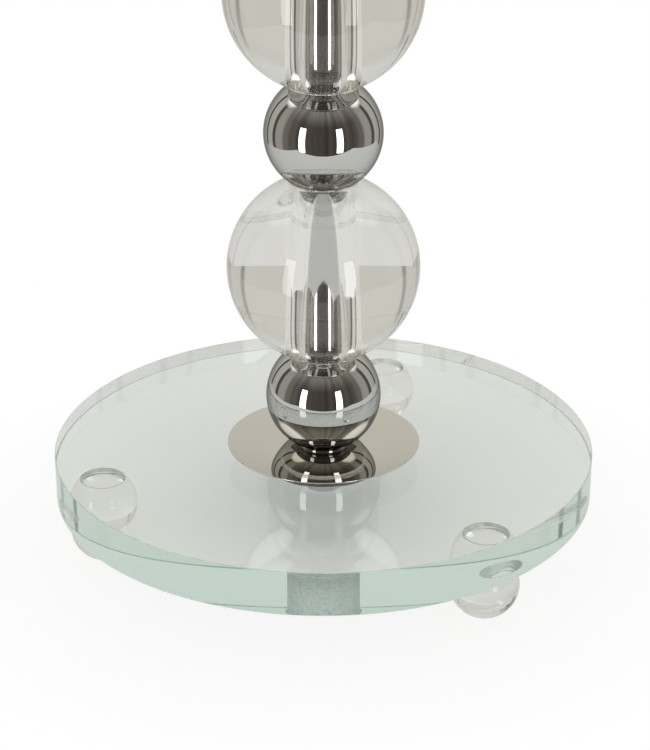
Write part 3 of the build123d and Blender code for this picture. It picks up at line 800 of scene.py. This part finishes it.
def welded_wire(start, end, wire_radius):
    """Points and faces of a straight wire and of the weld at each of its ends."""
    along = (end - start).normalized()
    parts = [tube([(start, wire_radius), (end, wire_radius)])]
    for joint, way in ((start, along), (end, -along)):
        parts.append(bead(joint + way * weld_length / 4, along, weld_length, weld_radius))
    return parts


rib_parts = []
for number in range(rib_count):
    angle = rib_first_angle + number * 360 / rib_count
    ends = [outward(angle, *ring_lines[node]) for node in ("shade_bottom_ring", "shade_top_ring")]
    rib_parts += welded_wire(*ends, rib_wire_radius)
ribs = make_piece("wire_ribs", *rib_parts)
fit(ribs, white_powder, "shade", "white_wire", "shade_ribs")

fitter_radius, fitter_height = ring_lines["fitter_ring"]
low_line, high_line = ring_lines["shade_bottom_ring"], ring_lines["shade_top_ring"]
rib_share = (fitter_height - low_line[1]) / (high_line[1] - low_line[1])
spoke_end_radius = low_line[0] + (high_line[0] - low_line[0]) * rib_share
spoke_parts = []
for number in range(spoke_count):
    angle = rib_first_angle + number * 360 / spoke_count
    ends = [outward(angle, radius, fitter_height) for radius in (fitter_radius, spoke_end_radius)]
    spoke_parts += welded_wire(*ends, spoke_wire_radius)
spokes = make_piece("wire_spokes", *spoke_parts)
fit(spokes, white_powder, "shade", "white_wire", "fitter_spokes")

# Shade cover: one piece of linen laminated on white styrene sheet, rolled into a cone and glued down
# the back with a narrow lap. It is cut as an arc of a ring, so the weave runs straight on the flat cut.
cover_low, cover_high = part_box("shade_cover")
cover_bottom_radius = cover_high.x
cover_top_radius = 60.0 * MM
cover_thickness = 0.8 * MM
cover_rise = cover_high.z - cover_low.z
cover_run = cover_bottom_radius - cover_top_radius
cover_slant = hypot(cover_rise, cover_run)
lap_angle = 90.0
lap_width = 10.0 * MM
lap_turn = lap_width / cover_bottom_radius
lap_climb = 5.8 * MM
lap_ramp = lap_climb / cover_bottom_radius
cover_steps = 240
cover_rows = 24

# The flat cut: an arc of a ring round the cone's tip
tip_share = cover_run / cover_slant
cut_outer = cover_bottom_radius / tip_share

# Linen, plain-woven: flax threads of uneven thickness, drawn 1.6 mm apart, about twice as coarse as real,
# so that the weave still shows at the render's size
linen_weave, tree = new_material("linen_plain_woven")
weave_pitch = 1.6 * MM
slub_length = 40 * MM
flat_place = add(tree, "UVMap", {"uv_map": "flat_cut"}).outputs["UV"]
threads, slubs = [], []
for direction, stretch in (
    ("X", (1 / slub_length, 1 / weave_pitch, 1.0)),
    ("Y", (1 / weave_pitch, 1 / slub_length, 1.0)),
):
    thread = add(
        tree,
        "TexWave",
        {
            "bands_direction": direction,
            "Scale": wave_scale(weave_pitch),
            "Distortion": 1.2,
            "Detail": 2.0,
            "Detail Scale": 2.0,
        },
        {"Vector": flat_place},
    )
    threads.append(thread.outputs["Fac"])
    drawn = add(tree, "Mapping", {"Scale": stretch}, {"Vector": flat_place})
    slub = add(tree, "TexNoise", {"Scale": 1.0, "Detail": 2.0}, {"Vector": drawn.outputs["Vector"]})
    slubs.append(slub.outputs["Fac"])
over = add(tree, "Math", {"operation": "MAXIMUM"}, {0: threads[0], 1: threads[1]})
under = add(tree, "Math", {"operation": "MULTIPLY"}, {0: threads[0], 1: threads[1]})
cloth = add(tree, "Math", {"operation": "ADD"}, {0: over.outputs[0], 1: under.outputs[0]})
unevenness = add(tree, "Math", {"operation": "ADD"}, {0: slubs[0], 1: slubs[1]})
cloth_tone = add(
    tree,
    "Math",
    {"operation": "MULTIPLY_ADD", 1: 0.22},
    {0: cloth.outputs[0], 2: unevenness.outputs[0]},
)
spread = add(tree, "MapRange", {"From Min": 0.75, "From Max": 1.6}, {"Value": cloth_tone.outputs[0]})
tone = add(tree, "ValToRGB", {}, {"Fac": spread.outputs["Result"]})
tone.color_ramp.elements[0].color = linear("#cdc3ad")
tone.color_ramp.elements[1].color = linear("#ece5d6")
cloth_height = add(tree, "Math", {"operation": "ADD"}, {0: cloth.outputs[0], 1: unevenness.outputs[0]})
relief = add(tree, "Bump", {"Strength": 0.5, "Distance": 0.25 * MM}, {"Height": cloth_height.outputs[0]})
linen = add(
    tree,
    "BsdfPrincipled",
    {"Roughness": 0.85, "Sheen Weight": 0.15, "Sheen Roughness": 0.5},
    {"Base Color": tone.outputs["Color"], "Normal": relief.outputs["Normal"]},
)
add(tree, "OutputMaterial", {}, {"Surface": linen.outputs[0]})

# Styrene sheet: the smooth white lining that the linen is glued to, with the slight ripple of the rolls
styrene_sheet = grained(
    "styrene_sheet_calendered", grain=12 * MM, detail=3.0, dark="#e8e6e0", pale="#f1efea",
    settings={"Roughness": 0.4, "IOR": 1.59}, dents=(0.05, 0.3 * MM),
)


def lap_lift(turn):
    """How far the lap lifts the cover's end, that far past the seam."""
    climb = min(max((turn + lap_ramp) / lap_ramp, 0.0), 1.0)
    return cover_thickness * climb * climb * (3 - 2 * climb)


cover_points, cover_flat, cover_faces = [], [], []
for side in (0, 1):
    for step in range(cover_steps + 1):
        turn = (2 * pi + lap_turn) * step / cover_steps
        lift = lap_lift(turn - 2 * pi) - cover_thickness * side
        for row in range(cover_rows + 1):
            share = row / cover_rows
            radius = cover_bottom_radius - cover_run * share + lift
            around = radians(lap_angle) + turn
            height = cover_low.z + cover_rise * share
            cover_points.append(Vector((radius * cos(around), radius * sin(around), height)))
            reach = cut_outer - cover_slant * share
            cover_flat.append((reach * sin(turn * tip_share), reach * cos(turn * tip_share)))
stride = cover_rows + 1
inside = stride * (cover_steps + 1)
for step in range(cover_steps):
    for row in range(cover_rows):
        corner = step * stride + row
        skin = [corner, corner + stride, corner + stride + 1, corner + 1]
        cover_faces.append(skin)
        cover_faces.append([place + inside for place in reversed(skin)])
    for edge in (step * stride, step * stride + cover_rows):
        cover_faces.append([edge, edge + stride, edge + stride + inside, edge + inside])
for row in range(cover_rows):
    for edge in (row, cover_steps * stride + row):
        cover_faces.append([edge, edge + 1, edge + 1 + inside, edge + inside])
cover = make_piece("linen_cover", (cover_points, cover_faces), sharp=60.0)
fit(cover, linen_weave, "shade", "shade_linen", "shade_cover")
cover.data.materials.append(styrene_sheet)
flat_cut = cover.data.uv_layers.new(name="flat_cut")
for face in cover.data.polygons:
    face.material_index = int(all(corner >= inside for corner in face.vertices))
    for corner in face.loop_indices:
        flat_cut.data[corner].uv = cover_flat[cover.data.loops[corner].vertex_index]

# Bound edges: linen tape folded over both rims of the shade and glued, round the wire rings and
# a little way up inside, so that no raw edge or bare ring shows.
tape_thickness = 0.5 * MM
tape_outside = 9.0 * MM
tape_inside = 6.0 * MM
tape_gap = 0.05 * MM
roll_steps = 12

# Linen tape, tabby-woven: slightly darker than the cover, with a nap drawn coarser than real
linen_tape = grained(
    "linen_tape_woven", grain=1.2 * MM, detail=4.0, dark="#bdb29a", pale="#e0d8c6",
    settings={"Roughness": 0.85, "Sheen Weight": 0.15}, dents=(0.5, 0.2 * MM),
)

# Along the cover's section, up is towards the tip, and out is square to the cover
slant_up = Vector((-cover_run, cover_rise)) / cover_slant
slant_out = Vector((cover_rise, cover_run)) / cover_slant
for end, edge_radius, edge_height, way in (
    ("bottom", cover_bottom_radius, cover_low.z, 1),
    ("top", cover_top_radius, cover_high.z, -1),
):
    ring_node = f"shade_{end}_ring"
    ring_centre = Vector(ring_lines[ring_node])
    outer_edge = Vector((edge_radius, edge_height))
    roll_out = (outer_edge - ring_centre).dot(slant_out) + tape_gap
    roll_in = ring_wire_radius + tape_gap
    roll_radius = (roll_out + roll_in) / 2
    roll_centre = ring_centre + slant_out * (roll_out - roll_in) / 2
    section_out, section_in = [], []
    for layer, points in ((0.0, section_in), (tape_thickness, section_out)):
        reach = roll_radius + layer
        points.append(roll_centre + slant_out * reach + slant_up * way * tape_outside)
        for step in range(roll_steps + 1):
            turn = pi * step / roll_steps
            points.append(roll_centre + slant_out * reach * cos(turn) - slant_up * way * reach * sin(turn))
        points.append(roll_centre - slant_out * reach + slant_up * way * tape_inside)
    outline = [tuple(point) for point in section_out + section_in[::-1]]
    tape_points, tape_faces = lathe(outline, steps=480)
    for point in tape_points:
        turn = (atan2(point.y, point.x) - radians(lap_angle) + pi) % (2 * pi) - pi
        radius = hypot(point.x, point.y)
        if (Vector((radius, point.z)) - roll_centre).dot(slant_out) > 0:
            point.xy *= 1 + min(lap_lift(turn), lap_lift(lap_turn - turn)) / radius
    tape = make_piece(f"tape_{end}", (tape_points, tape_faces), sharp=50.0)
    fit(tape, linen_tape, "shade", "shade_binding", f"shade_{end}_trim")

# Table, studio and camera: a pale table in front of a warm pale backdrop, with two tall soft boxes
# in front, one each side of the camera, in an otherwise dim room that only polished faces show.
table_front, table_back = -0.38, 0.325
table_left, table_right = -0.47, 0.58
table_height = -0.2 * MM
shadow_near, shadow_far = 0.09, 0.2
white_near, white_far = 0.78, 1.0
white_in_lamp = 0.1

table_mesh = bpy.data.meshes.new("table")
table_mesh.from_pydata(
    [
        (table_left, table_front, table_height),
        (table_right, table_front, table_height),
        (table_right, table_back, table_height),
        (table_left, table_back, table_height),
    ],
    [],
    [(0, 1, 2, 3)],
)
table = bpy.data.objects.new("table", table_mesh)
bpy.context.scene.collection.objects.link(table)

# Pale paper: white to the camera and, to a smaller share, in metal and glass. Near the lamp some of
# the matt paper shows through the white, with the lamp's soft shadow on it.
paper, tree = new_material("paper_matt_white")
path = add(tree, "LightPath")
in_lamp = add(
    tree,
    "Math",
    {"operation": "MAXIMUM"},
    {0: path.outputs["Is Glossy Ray"], 1: path.outputs["Is Transmission Ray"]},
)
lamp_share = add(tree, "Math", {"operation": "MULTIPLY", 1: white_in_lamp}, {0: in_lamp.outputs[0]})
away = add(tree, "VectorMath", {"operation": "LENGTH"}, {0: add(tree, "TexCoord").outputs["Object"]})
fade = add(
    tree,
    "MapRange",
    {"From Min": shadow_near, "From Max": shadow_far, "To Min": white_near, "To Max": white_far},
    {"Value": away.outputs["Value"]},
)
camera_share = add(
    tree,
    "Math",
    {"operation": "MULTIPLY"},
    {0: path.outputs["Is Camera Ray"], 1: fade.outputs["Result"]},
)
white_share = add(
    tree,
    "Math",
    {"operation": "MAXIMUM"},
    {0: lamp_share.outputs[0], 1: camera_share.outputs[0]},
)
matt = add(tree, "BsdfDiffuse", {"Color": linear("#ebebe8")})
white = add(tree, "Emission", {"Color": linear("#ffffff"), "Strength": 1.0})
shown = add(tree, "MixShader", {}, {0: white_share.outputs[0], 1: matt.outputs[0], 2: white.outputs[0]})
add(tree, "OutputMaterial", {}, {"Surface": shown.outputs[0]})
table_mesh.materials.append(paper)

# Studio: a dim panelled room in front, a pale screen between dark gaps at the sides, the backdrop behind.
# Metal shows all of it, and so does light that glass has mirrored once. Other light through glass sees
# it alike in front and behind and paler overhead, so that glass stays clear from every side.
studio = bpy.data.worlds.new("studio")
studio.use_nodes = True
tree = studio.node_tree
tree.nodes.clear()
path = add(tree, "LightPath")
direction = add(tree, "TexCoord").outputs["Generated"]
across = add(tree, "SeparateXYZ", {}, {0: direction})
height = across.outputs["Z"]
level = add(tree, "VectorMath", {"operation": "MULTIPLY", 1: (1.0, 1.0, 0.0)}, {0: direction})
ahead = add(tree, "VectorMath", {"operation": "NORMALIZE"}, {0: level.outputs[0]})
behind = add(tree, "SeparateXYZ", {}, {0: ahead.outputs[0]}).outputs["Y"]
mirrored = add(tree, "Math", {"operation": "ABSOLUTE"}, {0: behind})
once = add(tree, "Math", {"operation": "COMPARE", 1: 1.0, 2: 0.5}, {0: path.outputs["Glossy Depth"]})
bounced = add(
    tree,
    "Math",
    {"operation": "MULTIPLY"},
    {0: path.outputs["Is Transmission Ray"], 1: once.outputs[0]},
)
clear_way = add(
    tree,
    "Math",
    {"operation": "SUBTRACT"},
    {0: path.outputs["Is Transmission Ray"], 1: bounced.outputs[0]},
)

# Round the room, from the dim wall in front of the lamp to the backdrop behind it
backdrop = "#dad8cf"
turned = add(tree, "Mix", {}, {0: clear_way.outputs[0], 2: behind, 3: mirrored.outputs[0]})
round_room = add(tree, "MapRange", {"From Min": -1.0, "From Max": 1.0}, {"Value": turned.outputs[0]})
room = add(tree, "ValToRGB", {}, {"Fac": round_room.outputs["Result"]})
stops = room.color_ramp.elements
stops[0].color = linear("#544d48")
stops[1].color = linear(backdrop)
for position, colour in (
    (0.20, "#5b5550"),
    (0.42, "#7c766e"),
    (0.46, "#b0ada5"),
    (0.60, "#b0ada5"),
    (0.63, "#5d5952"),
    (0.68, "#5d5952"),
    (0.70, "#cdcbc4"),
    (0.82, "#cdcbc4"),
    (0.83, "#3d3a35"),
    (0.85, "#3d3a35"),
    (0.86, backdrop),
):
    stops.new(position).color = linear(colour)

# Over it a ceiling, on the dim wall panels of uneven tone, and high at each side a lamp head
head_way = (0.56, 0.25, 0.79)
head_light = (1.7, 1.7, 1.6, 1.0)
upward = add(
    tree,
    "MapRange",
    {"interpolation_type": "SMOOTHSTEP", "From Min": 0.4, "From Max": 0.95},
    {"Value": height},
)
roof = add(tree, "MixRGB", {2: linear("#9a968e")}, {0: upward.outputs["Result"], 1: room.outputs["Color"]})
panels = add(tree, "TexNoise", {"Scale": 5.0, "Detail": 3.0}, {"Vector": ahead.outputs[0]})
panel_tone = add(
    tree,
    "MapRange",
    {"From Min": 0.35, "From Max": 0.65, "To Min": 0.7, "To Max": 1.25},
    {"Value": panels.outputs["Fac"]},
)
in_front = add(tree, "MapRange", {"From Min": 0.1, "From Max": -0.4}, {"Value": behind})
panelled = add(
    tree,
    "MixRGB",
    {"blend_type": "MULTIPLY"},
    {0: in_front.outputs["Result"], 1: roof.outputs[0], 2: panel_tone.outputs["Result"]},
)
aside = add(tree, "Math", {"operation": "ABSOLUTE"}, {0: across.outputs["X"]})
one_side = add(tree, "CombineXYZ", {}, {0: aside.outputs[0], 1: across.outputs["Y"], 2: height})
to_head = add(tree, "VectorMath", {"operation": "DOT_PRODUCT", 1: head_way}, {0: one_side.outputs[0]})
head = add(
    tree,
    "MapRange",
    {"interpolation_type": "SMOOTHSTEP", "From Min": 0.93, "From Max": 0.98},
    {"Value": to_head.outputs["Value"]},
)
hall = add(tree, "MixRGB", {2: head_light}, {0: head.outputs["Result"], 1: panelled.outputs[0]})

# Through clear glass: the room under a pale sky, with two dark upright stands to each side
paler = add(
    tree,
    "MapRange",
    {"From Min": 0.2, "From Max": 0.4, "To Min": 0.6, "To Max": 0.95},
    {"Value": height},
)
overhead = add(tree, "MapRange", {"From Min": 0.32, "From Max": 0.5}, {"Value": height})
sky = add(tree, "MixRGB", {1: linear("#c6c5bd"), 2: linear("#d8d9d4")}, {0: overhead.outputs["Result"]})
in_glass = add(tree, "MixRGB", {}, {0: paler.outputs["Result"], 1: room.outputs["Color"], 2: sky.outputs[0]})
uneven = add(
    tree,
    "Math",
    {"operation": "MULTIPLY_ADD", 1: 0.07},
    {0: across.outputs["X"], 2: mirrored.outputs[0]},
)
stands = add(tree, "ValToRGB", {}, {"Fac": uneven.outputs[0]})
stops = stands.color_ramp.elements
stops[0].color = linear("#ffffff")
for position, colour in (
    (0.25, "#ffffff"),
    (0.26, "#8a8a8a"),
    (0.32, "#8a8a8a"),
    (0.33, "#ffffff"),
    (0.49, "#ffffff"),
    (0.50, "#7d7d7d"),
    (0.53, "#7d7d7d"),
    (0.54, "#ffffff"),
):
    stops.new(position).color = linear(colour)
raised = add(tree, "MapRange", {"From Min": 0.25, "From Max": 0.3}, {"Value": height})
far_side = add(
    tree,
    "MixRGB",
    {"blend_type": "MULTIPLY"},
    {0: raised.outputs["Result"], 1: in_glass.outputs[0], 2: stands.outputs["Color"]},
)

# Matt faces get plain pale light, polished ones the hall, clear glass its far side, and the camera white
polished = add(
    tree,
    "Math",
    {"operation": "MAXIMUM"},
    {0: path.outputs["Is Glossy Ray"], 1: bounced.outputs[0]},
)
lit = add(tree, "MixRGB", {1: linear("#f0f0f0")}, {0: polished.outputs[0], 2: hall.outputs[0]})
through = add(tree, "MixRGB", {}, {0: clear_way.outputs[0], 1: lit.outputs[0], 2: far_side.outputs[0]})
seen = add(tree, "MixRGB", {2: linear("#ffffff")}, {0: path.outputs["Is Camera Ray"], 1: through.outputs[0]})
background = add(tree, "Background", {"Strength": 1.0}, {"Color": seen.outputs[0]})
add(tree, "OutputWorld", {}, {"Surface": background.outputs[0]})
bpy.context.scene.world = studio

# Soft boxes: plain white, and dimmer where glass has mirrored them twice and passed them on twice,
# so that the far side of the rim holds no hard white patches
box_distance = 1.5
box_turns = (-40.8, 31.5)
box_width, box_height, box_middle = 0.33, 1.2, 0.19
box_radiance = 3.4
box_dimmed = 0.25
for box_turn in box_turns:
    lamp = bpy.data.lights.new("soft_box", "AREA")
    lamp.shape = "RECTANGLE"
    lamp.size, lamp.size_y = box_width, box_height
    lamp.energy = box_radiance * pi * box_width * box_height
    lamp.use_nodes = True
    tree = lamp.node_tree
    tree.nodes.clear()
    path = add(tree, "LightPath")
    twice = []
    for depth in ("Glossy Depth", "Transmission Depth"):
        more = add(tree, "Math", {"operation": "GREATER_THAN", 1: 1.5}, {0: path.outputs[depth]})
        twice.append(more.outputs[0])
    deep = add(tree, "Math", {"operation": "MULTIPLY"}, {0: twice[0], 1: twice[1]})
    strength = add(tree, "MapRange", {"To Min": 1.0, "To Max": box_dimmed}, {"Value": deep.outputs[0]})
    glow = add(tree, "Emission", {}, {"Strength": strength.outputs["Result"]})
    add(tree, "OutputLight", {}, {"Surface": glow.outputs[0]})
    soft_box = bpy.data.objects.new("soft_box", lamp)
    turn = radians(box_turn)
    soft_box.location = (box_distance * sin(turn), -box_distance * cos(turn), box_middle)
    soft_box.rotation_euler = (radians(90), 0.0, turn)
    soft_box.visible_camera = False
    bpy.context.scene.collection.objects.link(soft_box)

# Camera: the photograph's view, with enough bounces for light to find its way out of thick glass
camera_place = (0.00067, -0.878, 0.47737)
camera_fall = 24.43
view = bpy.data.cameras.new("camera")
view.sensor_fit = "VERTICAL"
view.sensor_height = 36.0
view.lens = 104.45
camera = bpy.data.objects.new("camera", view)
camera.location = camera_place
camera.rotation_euler = (radians(90 - camera_fall), 0.0, 0.0)
bpy.context.scene.collection.objects.link(camera)
bpy.context.scene.camera = camera
bpy.context.scene.view_settings.view_transform = "Standard"
bpy.context.scene.cycles.max_bounces = 64
bpy.context.scene.cycles.glossy_bounces = 48
bpy.context.scene.cycles.transmission_bounces = 48
bpy.context.scene.cycles.transparent_max_bounces = 24
